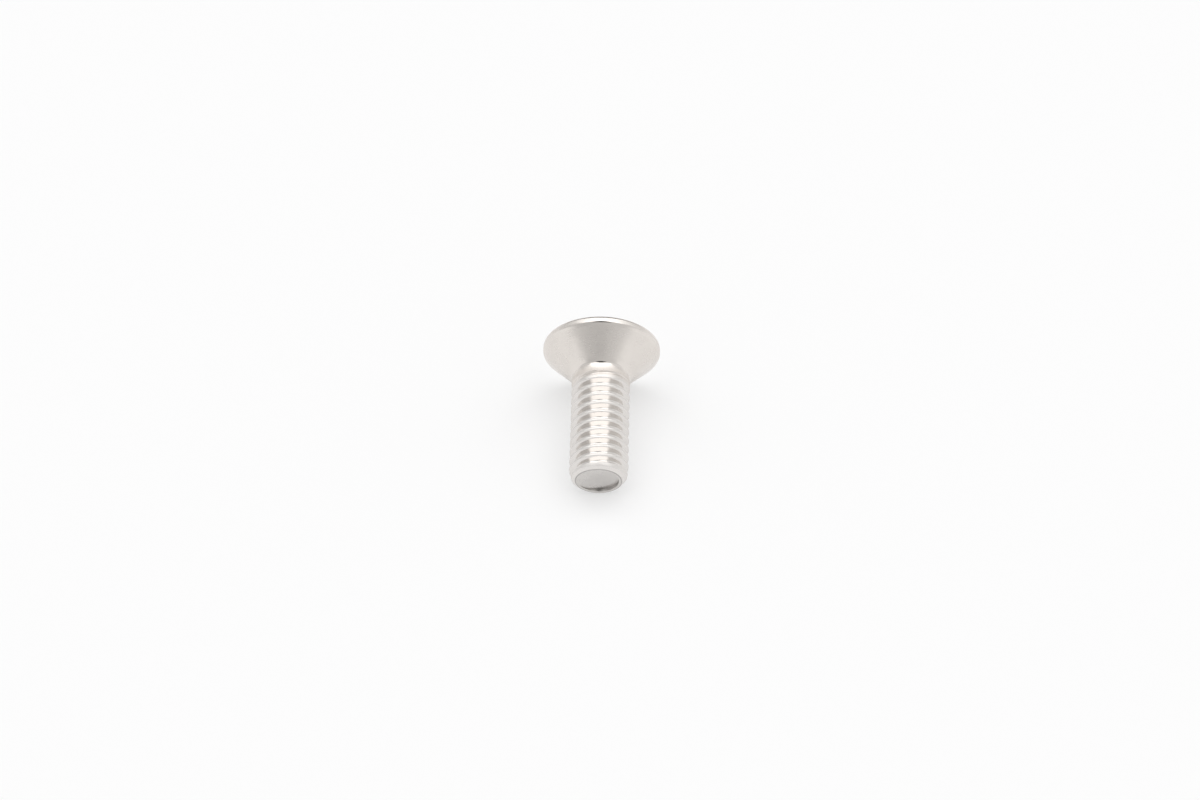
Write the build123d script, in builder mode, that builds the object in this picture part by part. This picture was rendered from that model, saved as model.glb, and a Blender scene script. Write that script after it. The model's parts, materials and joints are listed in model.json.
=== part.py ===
# Countersunk machine screw with a hexagon socket and a right-hand thread, forged and rolled as one piece.
# Millimetres, +Z up. The screw lies as it comes to rest, on the rim of its head and on its point, with
# its head towards +Y. The origin is on the floor, under the middle of its box.

import os
from math import asin, atan, atan2, ceil, cos, degrees, hypot, radians, sin, tan

from build123d import *

os.makedirs("parts", exist_ok=True)

# Head: a flat top, a straight rim and a cone that seats in a countersunk hole
head_diameter = 11.8
head_land = 0.72  # height of the straight rim
seat_angle = 90.0  # included angle of the cone
top_rounding = 0.35  # between the flat top and the rim
rim_rounding = 0.2  # between the rim and the cone

# Hexagon socket in the flat top
socket_sides = 6
socket_across_flats = 4.0
socket_depth = 2.3
socket_mouth_diameter = 4.9  # of the chamfer that leads a key in, at the flat top
socket_mouth_angle = 120.0
socket_floor_angle = 120.0

# Shank, with a plain collar under the cone where the thread runs out
overall_length = 15.7
junction_rounding = 0.4  # in the corner between the cone and the collar
collar_width = 1.515  # from that corner to the middle of the first full groove

# Thread, of the metric profile
thread_diameter = 5.85
thread_pitch = 1.0
thread_angle = 60.0
crest_flat_share = 0.21  # of the pitch
root_flat_share = 1 / 6  # of the pitch
runout_turn_share = 0.75  # of a turn, in which the groove fades out into the collar

# Point: drawn in a little, chamfered, and hollow at the end as thread rolling leaves it
point_length = 1.4  # with the chamfer
point_diameter = 5.4  # where the chamfer starts
chamfer_length = 0.3
end_diameter = 4.55
hollow_diameter = 4.0
hollow_depth = 0.16  # in the middle
hollow_bow = 0.08  # how far the hollow's floor dips below its own edge
hollow_tilt = 6.5  # degrees
hollow_side = 64.0  # degrees round the axis, where the hollow is deepest

rest_turn = 157.0  # degrees about the screw's own axis, as it lies
overrun = 0.05  # how far a cut reaches past the surface it opens

# Places along the axis, from the head's flat top
head_radius = head_diameter / 2
crest_radius = thread_diameter / 2
point_radius = point_diameter / 2
end_radius = end_diameter / 2
hollow_radius = hollow_diameter / 2
seat_end = head_land + (head_radius - crest_radius) / tan(radians(seat_angle / 2))
first_groove = seat_end + collar_width
point_start = overall_length - point_length

# The point's arc leaves the thread's crest line smoothly and ends at the chamfer
chamfer_start = overall_length - chamfer_length
point_drop = crest_radius - point_radius
point_arc = ((chamfer_start - point_start) ** 2 + point_drop**2) / (2 * point_drop)
hollow_arc = (hollow_radius**2 + hollow_bow**2) / (2 * hollow_bow)

# Groove of the thread, which widens from its flat root to the crest
flank_slope = tan(radians(thread_angle / 2))
root_half_width = thread_pitch * root_flat_share / 2
groove_half_width = thread_pitch * (1 - crest_flat_share) / 2
groove_depth = (groove_half_width - root_half_width) / flank_slope
root_radius = crest_radius - groove_depth
groove_mouth_radius = crest_radius + overrun
groove_mouth_half_width = groove_half_width + overrun * flank_slope
thread_turns = ceil((overall_length - first_groove) / thread_pitch) + 1

# The groove's fade-out climbs a cone, on which a turn's rise is measured along the slant
runout_rise = thread_pitch * runout_turn_share
runout_angle = atan((groove_depth + overrun) / runout_rise)
runout_pitch = thread_pitch / cos(runout_angle)

# Socket
socket_radius = socket_across_flats / 2
socket_mouth_radius = socket_mouth_diameter / 2
socket_mouth_slope = tan(radians(socket_mouth_angle / 2))
socket_cone_height = socket_radius / tan(radians(socket_floor_angle / 2))

# Plug that leaves the end's hollow, with the end's plane at zero
with BuildPart() as hollow:
    with Locations((0, 0, -hollow_depth)):
        Cylinder(hollow_radius, hollow_radius, align=(Align.CENTER, Align.CENTER, Align.MIN))
    with Locations((0, 0, hollow_arc - hollow_depth)):
        Sphere(hollow_arc, mode=Mode.INTERSECT)

# Upright screw: its axis is Z, with the head's flat top at zero and the point upwards
with BuildPart() as upright_screw:
    with BuildSketch(Plane.XZ) as profile:
        with BuildLine():
            Polyline(
                (0, overall_length),
                (0, 0),
                (head_radius, 0),
                (head_radius, head_land),
                (crest_radius, seat_end),
                (crest_radius, point_start),
            )
            RadiusArc((crest_radius, point_start), (point_radius, chamfer_start), -point_arc)
            Polyline((point_radius, chamfer_start), (end_radius, overall_length), (0, overall_length))
        make_face()
        fillet(profile.vertices().sort_by_distance((head_radius, 0))[0], radius=top_rounding)
        fillet(profile.vertices().sort_by_distance((head_radius, head_land))[0], radius=rim_rounding)
        fillet(profile.vertices().sort_by_distance((crest_radius, seat_end))[0], radius=junction_rounding)
    revolve(axis=Axis.Z)
    hollow_lean = (-hollow_tilt * sin(radians(hollow_side)), hollow_tilt * cos(radians(hollow_side)), 0)
    with Locations((0, 0, overall_length)):
        add(hollow.part, rotation=hollow_lean, mode=Mode.SUBTRACT)

    # Hexagon socket with a drilled floor and a chamfered mouth
    with BuildSketch(Plane.XY):
        RegularPolygon(socket_radius, side_count=socket_sides, major_radius=False)
    extrude(amount=socket_depth, mode=Mode.SUBTRACT)
    with BuildSketch(Plane.XZ):
        with BuildLine():
            Polyline(
                (0, socket_depth - overrun),
                (socket_radius, socket_depth - overrun),
                (socket_radius, socket_depth),
                (0, socket_depth + socket_cone_height),
                close=True,
            )
        make_face()
    revolve(axis=Axis.Z, mode=Mode.SUBTRACT)
    with BuildSketch(Plane.XZ):
        with BuildLine():
            Polyline(
                (0, -overrun),
                (socket_mouth_radius + overrun * socket_mouth_slope, -overrun),
                (0, socket_mouth_radius / socket_mouth_slope),
                close=True,
            )
        make_face()
    revolve(axis=Axis.Z, mode=Mode.SUBTRACT)

    # Thread groove, one turn of helix after another from the first full groove out past the end
    with BuildLine() as thread_path:
        for turn in range(thread_turns):
            Helix(thread_pitch, thread_pitch, crest_radius, center=(0, 0, first_groove + turn * thread_pitch))
    with BuildSketch(Plane.XZ) as groove:
        with BuildLine():
            Polyline(
                (root_radius, first_groove - root_half_width),
                (groove_mouth_radius, first_groove - groove_mouth_half_width),
                (groove_mouth_radius, first_groove + groove_mouth_half_width),
                (root_radius, first_groove + root_half_width),
                close=True,
            )
        make_face()
    sweep(path=thread_path.line, is_frenet=True, mode=Mode.SUBTRACT)

    # Its fade-out towards the head, where the groove climbs out of the collar
    with BuildLine() as runout_path:
        climb = Helix(
            runout_pitch,
            runout_rise,
            crest_radius,
            center=(0, 0, first_groove),
            direction=(0, 0, -1),
            cone_angle=degrees(runout_angle),
            mode=Mode.PRIVATE,
        )
        add(climb.rotate(Axis.Z, 180))
    sweep(sections=groove.sketch, path=runout_path.line, is_frenet=True, mode=Mode.SUBTRACT)

# At rest the floor touches the rounding of the rim above the cone and the arc of the point
rim_place = head_land - rim_rounding * tan(radians(seat_angle / 4))
rim_centre = head_radius - rim_rounding
point_centre = crest_radius - point_arc
along = point_start - rim_place
across = rim_centre - point_centre
tilt = atan2(across, along) + asin((rim_rounding - point_arc) / hypot(across, along))
head_height = rim_place * sin(tilt) + rim_centre * cos(tilt) + rim_rounding

# The head's lower edge reaches furthest back and the end's upper edge furthest forward
back_reach = top_rounding + (head_radius - top_rounding) * sin(tilt) - top_rounding * cos(tilt)
front_reach = overall_length * cos(tilt) + end_radius * sin(tilt)
head_back = (front_reach - back_reach) / 2

lying = Plane(
    origin=(0, head_back, head_height),
    x_dir=(0, -sin(tilt), cos(tilt)),
    z_dir=(0, -cos(tilt), -sin(tilt)),
)
with BuildPart(lying) as screw:
    add(upright_screw.part, rotation=(0, 0, rest_turn))
screw.part.label = "screw"
export_step(screw.part, "parts/screw.step")
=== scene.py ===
import json
import math

import bpy
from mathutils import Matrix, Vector


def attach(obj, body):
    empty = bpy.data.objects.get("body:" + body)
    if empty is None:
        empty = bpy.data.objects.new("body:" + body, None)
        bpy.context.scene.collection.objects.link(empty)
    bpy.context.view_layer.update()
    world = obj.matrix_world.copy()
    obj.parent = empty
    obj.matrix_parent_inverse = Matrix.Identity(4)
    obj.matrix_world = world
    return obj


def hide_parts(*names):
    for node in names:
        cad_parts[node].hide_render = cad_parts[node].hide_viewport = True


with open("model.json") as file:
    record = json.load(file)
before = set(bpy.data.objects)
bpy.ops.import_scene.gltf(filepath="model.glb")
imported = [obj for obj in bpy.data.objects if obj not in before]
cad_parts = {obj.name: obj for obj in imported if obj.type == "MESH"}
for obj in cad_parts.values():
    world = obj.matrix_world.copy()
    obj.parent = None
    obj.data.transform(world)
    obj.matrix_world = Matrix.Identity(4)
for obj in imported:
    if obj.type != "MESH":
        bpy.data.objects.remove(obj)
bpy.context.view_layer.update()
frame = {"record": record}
print("frame loaded")

# the screw is modelled upright in millimetres, flat top at z = 0 and point upwards, and laid down at the end
mm = 0.001
socketMount = next(mount for mount in frame["record"]["mounts"] if mount["name"] == "hexagon_socket")
headTop = Vector(socketMount["pos_m"])  # middle of the flat top
restTilt = math.asin(socketMount["axis"][2])  # how far the axis dips towards the point
restTurn = math.radians(157)  # about the axis

segments = 192  # round every turned surface and every turn of thread
weld = 0.0005  # vertices closer than this become one
within = 0.001  # how exactly a face or an edge is found by its place


def arc(centreRadius, centreHeight, radius, fromAngle, toAngle, steps):
    # 0 degrees points away from the axis, 90 towards the point
    points = []
    for step in range(steps + 1):
        angle = math.radians(fromAngle + (toAngle - fromAngle) * step / steps)
        points.append((centreRadius + radius * math.cos(angle), centreHeight + radius * math.sin(angle)))
    return points


def drawProfile(name, points):
    # a plane shrunk to one vertex, which is then extruded from point to point
    bpy.ops.object.select_all(action="DESELECT")
    bpy.ops.mesh.primitive_plane_add(size=1, location=(0, 0, 0))
    profile = bpy.context.object
    profile.name = name
    bpy.ops.object.mode_set(mode="EDIT")
    bpy.ops.mesh.select_mode(type="VERT")
    bpy.ops.mesh.select_all(action="SELECT")
    bpy.ops.mesh.merge(type="CENTER")
    bpy.ops.transform.translate(value=(points[0][0], 0, points[0][1]))
    for before, after in zip(points, points[1:]):
        step = (after[0] - before[0], 0, after[1] - before[1])
        bpy.ops.mesh.extrude_vertices_move(TRANSFORM_OT_translate={"value": step})
    bpy.ops.object.mode_set(mode="OBJECT")
    return profile


def turnProfile(profile, rise=0.0, turns=1):
    # lathe, or with a rise for each turn, a thread
    screwing = profile.modifiers.new("turning", "SCREW")
    screwing.axis = "Z"
    screwing.angle = 2 * math.pi
    screwing.screw_offset = rise
    screwing.iterations = turns
    screwing.steps = segments
    screwing.render_steps = segments
    screwing.use_merge_vertices = True
    screwing.merge_threshold = weld
    bpy.ops.object.modifier_apply(modifier=screwing.name)
    bpy.ops.object.mode_set(mode="EDIT")
    bpy.ops.mesh.select_all(action="SELECT")
    bpy.ops.mesh.remove_doubles(threshold=weld)
    bpy.ops.mesh.normals_make_consistent(inside=False)
    bpy.ops.object.mode_set(mode="OBJECT")
    return profile


def selectBy(piece, kind, test):
    # kind is vertices, edges or polygons, and test gets one of them
    for part in (piece.data.vertices, piece.data.edges, piece.data.polygons):
        part.foreach_set("select", [False] * len(part))
    chosen = [part for part in getattr(piece.data, kind) if test(part)]
    for part in chosen:
        part.select = True
    return len(chosen)


def cutAway(piece, cutter):
    bpy.ops.object.select_all(action="DESELECT")
    bpy.context.view_layer.objects.active = piece
    cutting = piece.modifiers.new("cutting", "BOOLEAN")
    cutting.operation = "DIFFERENCE"
    cutting.solver = "EXACT"
    cutting.object = cutter
    bpy.ops.object.modifier_apply(modifier=cutting.name)
    bpy.data.objects.remove(cutter)


def cutOff(piece, test):
    # takes off the faces that closed a piece for cutting
    selectBy(piece, "polygons", test)
    bpy.ops.object.mode_set(mode="EDIT")
    bpy.ops.mesh.select_mode(type="FACE")
    bpy.ops.mesh.delete(type="FACE")
    bpy.ops.object.mode_set(mode="OBJECT")


# head with its cone, and the collar down to where the thread's mesh takes over
head = {
    "diameter": 11.8,
    "land": 0.72,  # straight rim
    "seatAngle": 45,  # of the cone, to the axis
    "topRounding": 0.35,
    "rimRounding": 0.28,  # between the rim and the cone
    "junctionRounding": 0.4,  # in the corner under the cone
    "collarEnd": 4.16,
    "support": 0.05,  # rows that hold the flats flat beside a rounding
    "topRow": 0.7,  # one more row on the flat top, as a share of its radius
    "topSteps": 12,
    "steps": 8,  # of the other roundings
}
socket = {
    "sides": 6,
    "acrossFlats": 4.0,
    "depth": 2.3,
    "mouthDiameter": 4.9,
    "mouthAngle": 60,  # half the cone of its chamfer and of its floor
    "mouthRounding": 0.12,
    "mouthSteps": 5,
    "chamferIn": 1.9,  # radius down to which the chamfer is turned, well inside the hexagon
    "overrun": 0.05,  # of the drill, up into the hexagon
    "clear": 1.0,  # how far the hexagon's cutter stands out of the flat top
}
thread = {
    "diameter": 5.85,
    "pitch": 1.0,
    "firstGroove": 5.21,  # middle of the first full groove
    "leadTurns": 2,  # rolled ahead of it, for the run-out
    "crestShare": 0.21,
    "crestRounding": 0.06,
    "flankAngle": 30,
    "flankRows": (0.25, 0.5, 0.75),
    "rootRounding": 0.1443,
    "steps": 4,  # of either rounding
    "runoutTurns": 0.75,
    "runoutLift": 0.05,  # how far past the collar's surface the groove climbs
    "blend": 0.06,
    "collarGap": 0.04,  # between its mesh and the collar's, bridged later
}
point = {
    "start": 14.3,
    "chamferStart": 15.4,
    "chamferDiameter": 5.4,
    "end": 15.7,
    "endDiameter": 4.55,
    "blend": 0.02,
    "lipRounding": 0.1,
    "lipSteps": 5,
    "joinAt": 15.65,
    "joinGap": 0.01,  # between the thread's mesh and the end's, bridged later
    "rows": (14.6, 14.9, 15.1, 15.25, 15.4, 15.52),  # cut into the thread, for the arc and the chamfer's edge
}
headRadius = head["diameter"] / 2
crestRadius = thread["diameter"] / 2
mouthRadius = socket["mouthDiameter"] / 2
mouthSlope = math.tan(math.radians(socket["mouthAngle"]))


def makeHead():
    rim, bend, top, near = head["rimRounding"], head["junctionRounding"], head["topRounding"], head["support"]
    seat = math.radians(head["seatAngle"])
    half = math.tan(seat / 2)
    seatEnd = head["land"] + (headRadius - crestRadius) / math.tan(seat)
    bendEnd = seatEnd + bend * half
    rimPlace = head["land"] - rim * half
    slantOut, slantUp = near * math.sin(seat), near * math.cos(seat)
    points = [(0, head["collarEnd"]), (crestRadius, head["collarEnd"]), (crestRadius, bendEnd + near)]
    points += arc(crestRadius + bend, bendEnd, bend, 180, 180 + head["seatAngle"], head["steps"])
    coneStart = points[-1]
    points.append((coneStart[0] + slantOut, coneStart[1] - slantUp))
    rimArc = arc(headRadius - rim, rimPlace, rim, head["seatAngle"], 0, head["steps"])
    points.append((rimArc[0][0] - slantOut, rimArc[0][1] + slantUp))
    points += rimArc
    points += [(headRadius, rimPlace - near), (headRadius, top + near)]
    points += arc(headRadius - top, top, top, 0, -90, head["topSteps"])
    # flat top, and the chamfer of the socket's mouth with its edge broken
    edge = socket["mouthRounding"]
    edgeTurn = 90 - socket["mouthAngle"]
    edgeStart = mouthRadius + edge * math.tan(math.radians(edgeTurn / 2))
    points += [(headRadius - top - near, 0), (headRadius * head["topRow"], 0), (edgeStart + near, 0)]
    points += arc(edgeStart, edge, edge, -90, -90 - edgeTurn, socket["mouthSteps"])
    chamferDepth = (mouthRadius - socket["chamferIn"]) / mouthSlope
    points += [(socket["chamferIn"], chamferDepth), (0, chamferDepth)]
    return turnProfile(drawProfile("head", points))


def cutSocket(piece):
    # broached hexagon over a drilled floor
    flat, depth, over, clear = socket["acrossFlats"] / 2, socket["depth"], socket["overrun"], socket["clear"]
    halfSide = math.pi / socket["sides"]
    bpy.ops.object.select_all(action="DESELECT")
    bpy.ops.mesh.primitive_cylinder_add(
        vertices=socket["sides"],
        radius=flat / math.cos(halfSide),
        depth=depth + clear,
        location=(0, 0, (depth - clear) / 2),
        rotation=(0, 0, halfSide),
    )
    hexagon = bpy.context.object
    bpy.ops.object.transform_apply(location=True, rotation=True, scale=True)
    points = [(0, depth - over), (flat, depth - over), (flat, depth), (0, depth + flat / mouthSlope)]
    drill = turnProfile(drawProfile("drill", points))
    for cutter in (hexagon, drill):
        cutAway(piece, cutter)
    cutOff(piece, lambda face: face.normal.z > 0.9 and abs(face.center.z - head["collarEnd"]) < within)


def softMin(a, b, k):
    # the smaller of two radii, with the corner between them rounded
    if k <= 0 or abs(a - b) >= k:
        return min(a, b)
    share = 0.5 + 0.5 * (b - a) / k
    return b + (a - b) * share - k * share * (1 - share)


def pointRadius(height):
    # drawn in along an arc that leaves the crest line smoothly, then chamfered
    if height <= point["start"]:
        return crestRadius
    height = min(height, point["end"])
    drop = crestRadius - point["chamferDiameter"] / 2
    length = point["chamferStart"] - point["start"]
    bow = (length**2 + drop**2) / (2 * drop)
    drawnIn = crestRadius - bow + math.sqrt(bow**2 - (height - point["start"]) ** 2)
    slope = (point["chamferDiameter"] - point["endDiameter"]) / 2 / (point["end"] - point["chamferStart"])
    chamfered = point["endDiameter"] / 2 + slope * (point["end"] - height)
    return min(drawnIn, chamfered)


def makeThread():
    pitch, edge, root, steps = thread["pitch"], thread["crestRounding"], thread["rootRounding"], thread["steps"]
    flank = math.radians(thread["flankAngle"])
    grooveHalf = pitch * (1 - thread["crestShare"]) / 2
    depth = grooveHalf / math.tan(flank) - root
    rootRadius = crestRadius - depth
    turn = 90 - thread["flankAngle"]
    # half a groove, from the middle of a crest to the bottom, then its mirror image
    edgePlace = -grooveHalf - edge * math.tan(math.radians(turn / 2))
    edgeArc = arc(crestRadius - edge, edgePlace, edge, 0, turn, steps)
    rootArc = arc(rootRadius + root, 0, root, 180 + turn, 180, steps)
    halfGroove = [(crestRadius, -pitch / 2)] + edgeArc
    for share in thread["flankRows"]:
        halfGroove.append(tuple(a + (b - a) * share for a, b in zip(edgeArc[-1], rootArc[0])))
    halfGroove += rootArc
    groove = halfGroove + [(radius, -height) for radius, height in reversed(halfGroove[:-1])]
    start = thread["firstGroove"] - thread["leadTurns"] * pitch
    turns = math.ceil((point["end"] - start) / pitch) + 1
    piece = drawProfile("thread", [(radius, start + height) for radius, height in groove])
    turnProfile(piece, rise=pitch, turns=turns)
    bpy.ops.object.mode_set(mode="EDIT")
    for height in point["rows"]:
        bpy.ops.mesh.select_all(action="SELECT")
        bpy.ops.mesh.bisect(plane_co=(0, 0, height), plane_no=(0, 0, 1), threshold=weld)
    bpy.ops.object.mode_set(mode="OBJECT")
    # the first groove climbs out of the collar, and the last ones end in the rounded point
    for vertex in piece.data.vertices:
        radius, angle, height = vertex.co.xy.length, math.atan2(vertex.co.y, vertex.co.x), vertex.co.z
        around = angle / (2 * math.pi) % 1
        nearest = round((height - thread["firstGroove"]) / pitch - around)
        behind = max(-(nearest + around), 0)  # turns before the first full groove
        climb = behind / thread["runoutTurns"] * (depth + thread["runoutLift"])
        shaped = softMin(radius + climb, crestRadius, min(climb, thread["blend"]))
        limit = pointRadius(height)
        shaped = softMin(shaped, limit, min(crestRadius - limit, point["blend"]))
        vertex.co.x *= shaped / radius
        vertex.co.y *= shaped / radius
    # cut square at the collar and just short of the end
    bpy.ops.object.mode_set(mode="EDIT")
    for height, side in ((head["collarEnd"] + thread["collarGap"], -1), (point["joinAt"], 1)):
        bpy.ops.mesh.select_all(action="SELECT")
        bpy.ops.mesh.bisect(plane_co=(0, 0, height), plane_no=(0, 0, side), clear_outer=True, threshold=weld)
    bpy.ops.object.mode_set(mode="OBJECT")
    return piece


hollow = {
    "diameter": 4.0,
    "depth": 0.16,  # in the middle
    "bow": 0.08,
    "tilt": 6.5,
    "side": 64,  # where it is deepest, degrees round the axis
    "floorSteps": 10,
    "edgeRounding": 0.03,
    "edgeSteps": 3,
    "roundFrom": -0.1,  # the edge is rounded from here to the deep side, as a share of the radius
    "edgeWithin": 0.02,  # how exactly the edge is found by its radius
    "faceRow": 0.08,  # a row on the end face, outside the hollow
    "clear": 1.0,  # how far its plug stands out, and how far below it the end is closed until it is cut
}


def makeEnd():
    # the chamfer's last bit, a rolled lip and the end
    lip, joinAt, rim = point["lipRounding"], point["joinAt"] + point["joinGap"], point["endDiameter"] / 2
    slope = math.degrees(math.atan2(point["end"] - point["chamferStart"], point["chamferDiameter"] / 2 - rim))
    lipCentre = rim - lip * math.tan(math.radians(slope / 2))
    wide, clear = hollow["diameter"] / 2, hollow["clear"]
    base = joinAt - clear
    points = [(0, base), (pointRadius(joinAt), base), (pointRadius(joinAt), joinAt)]
    points += arc(lipCentre, point["end"] - lip, lip, 90 - slope, 90, point["lipSteps"])
    points += [(wide + hollow["faceRow"], point["end"]), (0, point["end"])]
    piece = turnProfile(drawProfile("end", points))
    # plug for the hollow, leaning to the side on which it is deepest
    bow = (wide**2 + hollow["bow"] ** 2) / (2 * hollow["bow"])
    spread = math.degrees(math.asin(wide / bow))
    profile = arc(0, bow - hollow["depth"], bow, -90, spread - 90, hollow["floorSteps"])
    plug = turnProfile(drawProfile("plug", profile + [(wide, clear), (0, clear)]))
    lean, side = math.radians(hollow["tilt"]), math.radians(hollow["side"])
    plug.rotation_euler = (-lean * math.sin(side), lean * math.cos(side), 0)
    plug.location = (0, 0, point["end"])
    cutAway(piece, plug)
    deepest = Vector((math.cos(side), math.sin(side)))

    def atEdge(co):
        # on the hollow's edge, where its wall is high enough to round
        level = abs(co.z - point["end"]) < within and abs(co.xy.length - wide) < hollow["edgeWithin"]
        return level and co.xy.dot(deepest) > hollow["roundFrom"] * wide

    vertices = piece.data.vertices
    print("hollow edges", selectBy(piece, "edges", lambda edge: all(atEdge(vertices[i].co) for i in edge.vertices)))
    bpy.ops.object.mode_set(mode="EDIT")
    bpy.ops.mesh.select_mode(type="EDGE")
    bpy.ops.mesh.bevel(offset=hollow["edgeRounding"], segments=hollow["edgeSteps"], affect="EDGES")
    bpy.ops.object.mode_set(mode="OBJECT")

    def closing(face):
        # the floor and the side that closed the end below the join
        outside = face.center.xy.length > (wide + rim) / 2
        return face.center.z < base + within or (face.center.z < joinAt and outside)

    cutOff(piece, closing)
    return piece


def joinLoops(piece, low, gap):
    # bridges the two open rings that lie this gap apart
    bpy.ops.object.mode_set(mode="EDIT")
    bpy.ops.mesh.select_mode(type="EDGE")
    bpy.ops.mesh.select_all(action="DESELECT")
    bpy.ops.mesh.select_non_manifold(use_wire=False, use_multi_face=False, use_non_contiguous=False, use_verts=False)
    bpy.ops.object.mode_set(mode="OBJECT")
    spots = piece.data.vertices
    rings = {edge.index for edge in piece.data.edges if edge.select}

    def between(edge):
        heights = [spots[index].co.z for index in edge.vertices]
        return edge.index in rings and all(low - gap / 2 < height < low + gap * 1.5 for height in heights)

    print("bridging edges", selectBy(piece, "edges", between))
    bpy.ops.object.mode_set(mode="EDIT")
    bpy.ops.mesh.bridge_edge_loops()
    bpy.ops.object.mode_set(mode="OBJECT")


def layDown(piece):
    bpy.ops.object.select_all(action="DESELECT")
    piece.select_set(True)
    bpy.context.view_layer.objects.active = piece
    piece.scale = (mm, mm, mm)
    piece.rotation_mode = "ZYX"
    piece.rotation_euler = (math.radians(90) + restTilt, 0, math.radians(90) + restTurn)
    piece.location = headTop
    bpy.ops.object.transform_apply(location=True, rotation=True, scale=True)
    piece.rotation_mode = "XYZ"


smoothBelow = math.radians(28)  # edges that turn less are shaded smooth


def makeScrew():
    headPiece = makeHead()
    cutSocket(headPiece)
    print("head turned and socket cut")
    screw = makeThread()
    print("thread rolled")
    endPiece = makeEnd()
    bpy.ops.object.select_all(action="DESELECT")
    for piece in (headPiece, endPiece, screw):
        piece.select_set(True)
    bpy.context.view_layer.objects.active = screw
    bpy.ops.object.join()
    screw.name = "screw_body"
    joinLoops(screw, head["collarEnd"], thread["collarGap"])
    joinLoops(screw, point["joinAt"], point["joinGap"])
    bpy.ops.object.mode_set(mode="EDIT")
    bpy.ops.mesh.select_all(action="SELECT")
    bpy.ops.mesh.normals_make_consistent(inside=False)
    bpy.ops.object.mode_set(mode="OBJECT")
    layDown(screw)
    bpy.ops.object.shade_smooth_by_angle(angle=smoothBelow)
    print("screw laid down,", len(screw.data.polygons), "faces")
    return screw


screw = makeScrew()


def addNode(tree, kind, **settings):
    # nodes are laid out in rows, in the order in which they are made
    node = tree.nodes.new(kind)
    row, column = divmod(len(tree.nodes), 8)
    node.location = (column * 220 - 2200, -row * 280)
    for name, value in settings.items():
        setattr(node, name, value)
    return node


def feed(tree, socket, value):
    # a number is set on the socket, and another node's output is linked to it
    if isinstance(value, (int, float)):
        socket.default_value = value
    else:
        tree.links.new(value, socket)


def calculate(tree, operation, first, second=0):
    node = addNode(tree, "ShaderNodeMath", operation=operation)
    feed(tree, node.inputs[0], first)
    feed(tree, node.inputs[1], second)
    return node.outputs[0]


def ramp(tree, value, span, low=0, high=1, shape="LINEAR"):
    # low up to the span's first number and high from its second
    node = addNode(tree, "ShaderNodeMapRange", interpolation_type=shape)
    names = ("Value", "From Min", "From Max", "To Min", "To Max")
    for name, number in zip(names, (value, *span, low, high)):
        feed(tree, node.inputs[name], number)
    return node.outputs["Result"]


# bright rolled steel: a warm grey, cloudy in the large and finely lined round the head and along the thread
steel = {
    "light": (0.778, 0.735, 0.694, 1),
    "dull": (0.753, 0.711, 0.671, 1),
    "rolled": (0.757, 0.735, 0.715, 1),  # the thread, rolled clean
    "rolledShare": 0.75,
    "endPaintedShade": 0.86,  # of the colour on the cut end: painted shade for the shadowed floor it reflects
    "lipShade": 0.55,  # and along its edge
    "wallPaintedShade": 0.72,  # and down the side of its hollow: painted shade for the recess
    "smooth": 0.08,  # roughness, from cloud to cloud
    "rough": 0.16,
    "lineWear": 0.06,  # added to it in the lines
    "headWear": 0.12,  # and on the cone
    "rimWear": 0.25,  # and on the straight rim
    "collarWear": 0.25,  # and on the collar
    "crestWear": 0.32,  # and on the thread's crests
    "endWear": 0.15,  # and on the cut end
    "clouds": (0.55, 4),  # scale and detail
    "lines": (9.0, 3),
    "grain": (22.0, 2),
    "dents": (1.6, 1),
    "cloudTint": (0.35, 0.65),
    "cloudWear": (0.3, 0.7),
    "lineHeight": 0.0022,  # millimetres
    "collarLines": 5,  # times that on the collar
    "grainHeight": 0.0007,
    "dentHeight": 0.005,
    "drawIn": 0.186,  # fall of the crests towards the point, in millimetres for a square millimetre
}
# where each finish or painted shade begins and where it is full: along is from the flat top, out is from the axis
finish = {
    "rimAlong": (0.27, 0.36),
    "rimEndAlong": (0.7, 0.62),
    "rimOut": (5.8, 5.86),
    "coneOut": (3.15, 3.4),
    "coneEndOut": (5.7, 5.55),
    "collarAlong": (3.8, 3.9),
    "collarEndAlong": (5.2, 4.4),
    "threadAlong": (4.0, 4.4),
    "rolledAlong": (4.6, 5.4),
    "crestOut": (2.86, 2.92),
    "endAlong": (15.3, 15.4),
    "endOut": (2.24, 2.2),
    "lipAlong": (15.64, 15.68),
    "lipOut": (2.2, 2.25),
    "wallAlong": (15.68, 15.64),
    "wallOut": (1.93, 1.97),
    "wallEndOut": (2.05, 2.02),
}


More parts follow.
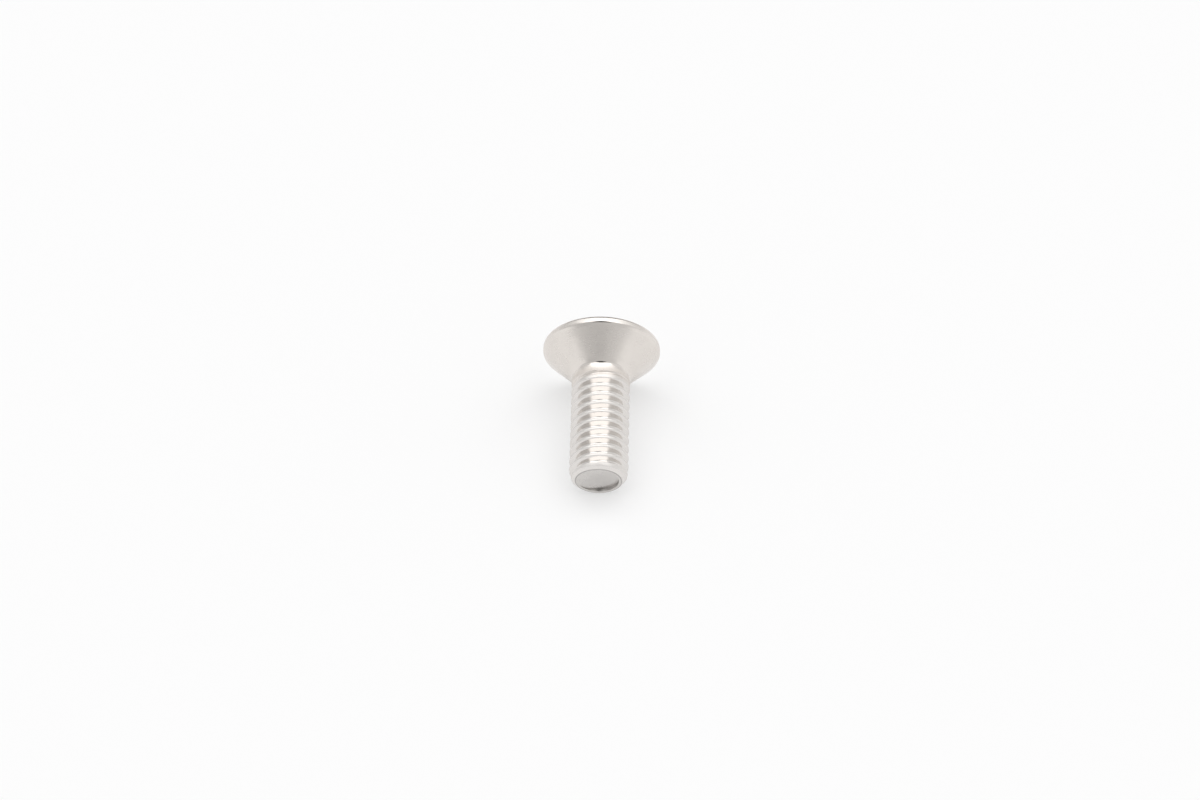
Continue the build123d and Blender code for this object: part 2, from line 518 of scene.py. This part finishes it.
def brightSteel():
    material = bpy.data.materials.new("bright_steel")
    material.use_nodes = True
    tree = material.node_tree
    shader = tree.nodes["Principled BSDF"]
    shader.inputs["Metallic"].default_value = 1.0

    def join(output, socket):
        tree.links.new(output, socket)

    def plus(first, second):
        return calculate(tree, "ADD", first, second)

    def times(first, second):
        return calculate(tree, "MULTIPLY", first, second)

    def square(value):
        return calculate(tree, "POWER", value, 2)

    def zone(value, name, full=1):
        return ramp(tree, value, finish[name], 0, full)

    def shading(mask, name):
        return ramp(tree, mask, (0, 1), 1, steel[name])

    def noise(vector, name):
        node = addNode(tree, "ShaderNodeTexNoise")
        node.inputs["Scale"].default_value, node.inputs["Detail"].default_value = steel[name]
        join(vector, node.inputs["Vector"])
        return node.outputs["Fac"]

    # millimetres along the axis and out from it
    where = addNode(tree, "ShaderNodeTexCoord")
    upright = addNode(tree, "ShaderNodeMapping", vector_type="TEXTURE")
    upright.inputs["Location"].default_value = headTop
    upright.inputs["Rotation"].default_value = (math.radians(90) + restTilt, 0, 0)
    upright.inputs["Scale"].default_value = (mm, mm, mm)
    join(where.outputs["Object"], upright.inputs["Vector"])
    spot = upright.outputs["Vector"]
    parts = addNode(tree, "ShaderNodeSeparateXYZ")
    join(spot, parts.inputs[0])
    across, upwards, along = parts.outputs
    out = calculate(tree, "SQRT", plus(square(across), square(upwards)))

    # the lines run in circles, and past the collar they follow the thread
    turn = calculate(tree, "DIVIDE", calculate(tree, "ARCTAN2", across, upwards), 2 * math.pi)
    threaded = zone(along, "threadAlong")
    lined = addNode(tree, "ShaderNodeCombineXYZ")
    join(out, lined.inputs[0])
    join(plus(along, times(turn, threaded)), lined.inputs[1])
    clouds = noise(spot, "clouds")
    lines = noise(lined.outputs[0], "lines")
    grain = noise(spot, "grain")
    dents = noise(spot, "dents")

    # parts of the screw with a finish of their own, and the cut end and its hollow's side, which get painted shade
    onEnd = times(zone(along, "endAlong"), zone(out, "endOut"))
    onLip = times(zone(out, "lipOut"), zone(along, "lipAlong"))
    # painted shade down the side of the end's hollow, where the recess is in shade
    onShadedWall = times(zone(out, "wallOut"), zone(out, "wallEndOut"))
    onShadedWall = times(onShadedWall, times(zone(along, "wallAlong"), onEnd))
    onRim = times(times(zone(along, "rimAlong"), zone(along, "rimEndAlong")), zone(out, "rimOut", steel["rimWear"]))
    onCone = times(zone(out, "coneOut"), zone(out, "coneEndOut", steel["headWear"]))
    onCollar = times(zone(along, "collarAlong"), zone(along, "collarEndAlong", steel["collarWear"]))
    past = calculate(tree, "MAXIMUM", calculate(tree, "SUBTRACT", along, point["start"]), 0)
    crestward = plus(out, times(square(past), steel["drawIn"]))  # as if the point were not drawn in
    onCrest = times(zone(crestward, "crestOut", steel["crestWear"]), threaded)

    # colour: painted shade on the cut end, for the shadowed floor it reflects, and down the side of its hollow, for
    # the shade in the recess; darker along the end's edge
    tint = addNode(tree, "ShaderNodeMix", data_type="RGBA")
    join(ramp(tree, clouds, steel["cloudTint"]), tint.inputs["Factor"])
    tint.inputs["A"].default_value = steel["light"]
    tint.inputs["B"].default_value = steel["dull"]
    rolled = addNode(tree, "ShaderNodeMix", data_type="RGBA")
    join(zone(along, "rolledAlong", steel["rolledShare"]), rolled.inputs["Factor"])
    join(tint.outputs["Result"], rolled.inputs["A"])
    rolled.inputs["B"].default_value = steel["rolled"]
    shade = times(times(shading(onEnd, "endPaintedShade"), shading(onLip, "lipShade")), shading(onShadedWall, "wallPaintedShade"))
    shaded = addNode(tree, "ShaderNodeVectorMath", operation="SCALE")
    join(rolled.outputs["Result"], shaded.inputs[0])
    join(shade, shaded.inputs["Scale"])
    join(shaded.outputs[0], shader.inputs["Base Color"])

    # roughness
    dullness = ramp(tree, clouds, steel["cloudWear"], steel["smooth"], steel["rough"])
    for wear in (times(lines, steel["lineWear"]), onCone, onCollar, onRim, onCrest, times(onEnd, steel["endWear"])):
        dullness = plus(dullness, wear)
    join(dullness, shader.inputs["Roughness"])

    # relief
    deepLines = steel["lineHeight"] * steel["collarLines"]
    lineHeight = ramp(tree, onCollar, (0, steel["collarWear"]), steel["lineHeight"], deepLines)
    heights = plus(times(lines, lineHeight), times(grain, steel["grainHeight"]))
    heights = plus(heights, times(dents, steel["dentHeight"]))
    bump = addNode(tree, "ShaderNodeBump")
    bump.inputs["Strength"].default_value = 1.0
    bump.inputs["Distance"].default_value = mm
    join(heights, bump.inputs["Height"])
    join(bump.outputs["Normal"], shader.inputs["Normal"])
    return material


screw.data.materials.clear()
screw.data.materials.append(brightSteel())
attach(screw, "root")
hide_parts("screw")
print("steel finished")

# white table, which shows the camera and the steel a whiter face than its shaded one
table = {"size": 3.0, "colour": (0.9, 0.9, 0.9, 1), "whiteShare": 0.5}


def makeTable():
    bpy.ops.object.select_all(action="DESELECT")
    bpy.ops.mesh.primitive_plane_add(size=table["size"], location=(0, 0, 0))
    piece = bpy.context.object
    piece.name = "table"
    material = bpy.data.materials.new("white_table")
    material.use_nodes = True
    tree = material.node_tree
    shader = tree.nodes["Principled BSDF"]
    shader.inputs["Base Color"].default_value = table["colour"]
    shader.inputs["Roughness"].default_value = 1.0
    shader.inputs["Specular IOR Level"].default_value = 0.0
    rays = addNode(tree, "ShaderNodeLightPath")
    seen = calculate(tree, "MAXIMUM", rays.outputs["Is Camera Ray"], rays.outputs["Is Glossy Ray"])
    white = addNode(tree, "ShaderNodeEmission")
    mix = addNode(tree, "ShaderNodeMixShader")
    tree.links.new(calculate(tree, "MULTIPLY", seen, table["whiteShare"]), mix.inputs[0])
    tree.links.new(shader.outputs[0], mix.inputs[1])
    tree.links.new(white.outputs[0], mix.inputs[2])
    tree.links.new(mix.outputs[0], tree.nodes["Material Output"].inputs["Surface"])
    piece.data.materials.append(material)


makeTable()

# studio: a wide soft box overhead, a white sweep below light side walls, a greyer front and back, and the dark
# outline of whoever looks on from the front; reaches and heights are shares of the sky's radius
studio = {
    "softBox": 1.85,
    "boxWidth": (0.52, 0.7),  # how far to the sides its full light and its last light reach
    "boxMiddle": 0.09,  # towards the back
    "boxDepth": (0.46, 0.6),
    "boxRise": (0.3, 0.5),
    "side": 0.86,
    "leftShare": 0.86,  # of the right wall's light
    "leftFade": (-0.5, 0.5),
    "front": 0.69,
    "frontReach": (-0.95, -0.35),
    "back": 0.45,
    "backReach": (0.46, 0.66),
    "backTop": 0.0,  # dark above the back, which draws the head's outline
    "backFade": (0.41, 0.53),  # heights between which the back gets dark
    "sweep": 0.98,
    "sweepFade": (0.02, 0.2),
    "outline": ((45, 14, 18), (61, 9, 13)),  # elevation, and reach of the dark and of its edge, in degrees
}


def makeStudio():
    world = bpy.data.worlds.new("studio")
    bpy.context.scene.world = world
    world.use_nodes = True
    tree = world.node_tree
    background = tree.nodes["Background"]
    sky = addNode(tree, "ShaderNodeTexCoord").outputs["Generated"]
    parts = addNode(tree, "ShaderNodeSeparateXYZ")
    tree.links.new(sky, parts.inputs[0])
    right, away, up = parts.outputs

    def step(value, name, low, high):
        return ramp(tree, value, studio[name], low, high, "SMOOTHSTEP")

    def times(first, second):
        return calculate(tree, "MULTIPLY", first, second)

    def shadeOut(elevation, inner, outer):
        # dark about one direction in front
        angle = math.radians(elevation)
        dot = addNode(tree, "ShaderNodeVectorMath", operation="DOT_PRODUCT")
        dot.inputs[1].default_value = (0, -math.cos(angle), math.sin(angle))
        tree.links.new(sky, dot.inputs[0])
        span = (math.cos(math.radians(outer)), math.cos(math.radians(inner)))
        return ramp(tree, dot.outputs["Value"], span, 1, 0, "SMOOTHSTEP")

    walls = step(away, "frontReach", studio["front"], studio["side"])
    walls = step(away, "backReach", walls, step(up, "backFade", studio["back"], studio["backTop"]))
    walls = times(walls, step(right, "leftFade", studio["leftShare"], 1))
    walls = step(up, "sweepFade", studio["sweep"], walls)
    aside = calculate(tree, "ABSOLUTE", right)
    behind = calculate(tree, "ABSOLUTE", calculate(tree, "SUBTRACT", away, studio["boxMiddle"]))
    inBox = times(step(aside, "boxWidth", 1, 0), step(behind, "boxDepth", 1, 0))
    inBox = times(inBox, step(up, "boxRise", 0, 1))
    light = ramp(tree, inBox, (0, 1), walls, studio["softBox"], "SMOOTHSTEP")
    for spot in studio["outline"]:
        light = times(light, shadeOut(*spot))
    tree.links.new(light, background.inputs["Color"])
    background.inputs["Strength"].default_value = 1.0


makeStudio()
print("studio lit")

# camera on the photograph's line of sight
view = {
    "lens": 90.51,
    "sensor": 36,
    "nearest": 0.01,
    "distance": 0.3,
    "elevation": 46.206,
    "azimuth": 1.214,
    "aim": (-0.000019, 0, 0.005836),
}


def makeCamera():
    up, aside = math.radians(view["elevation"]), math.radians(view["azimuth"])
    away = Vector((math.sin(aside) * math.cos(up), -math.cos(aside) * math.cos(up), math.sin(up)))
    camera = bpy.data.cameras.new("camera")
    camera.lens = view["lens"]
    camera.sensor_fit = "HORIZONTAL"
    camera.sensor_width = view["sensor"]
    camera.clip_start = view["nearest"]
    holder = bpy.data.objects.new("camera", camera)
    bpy.context.scene.collection.objects.link(holder)
    holder.location = Vector(view["aim"]) + away * view["distance"]
    holder.rotation_euler = (-away).to_track_quat("-Z", "Y").to_euler()
    bpy.context.scene.camera = holder


makeCamera()
bpy.context.scene.view_settings.view_transform = "Standard"
print("camera set")
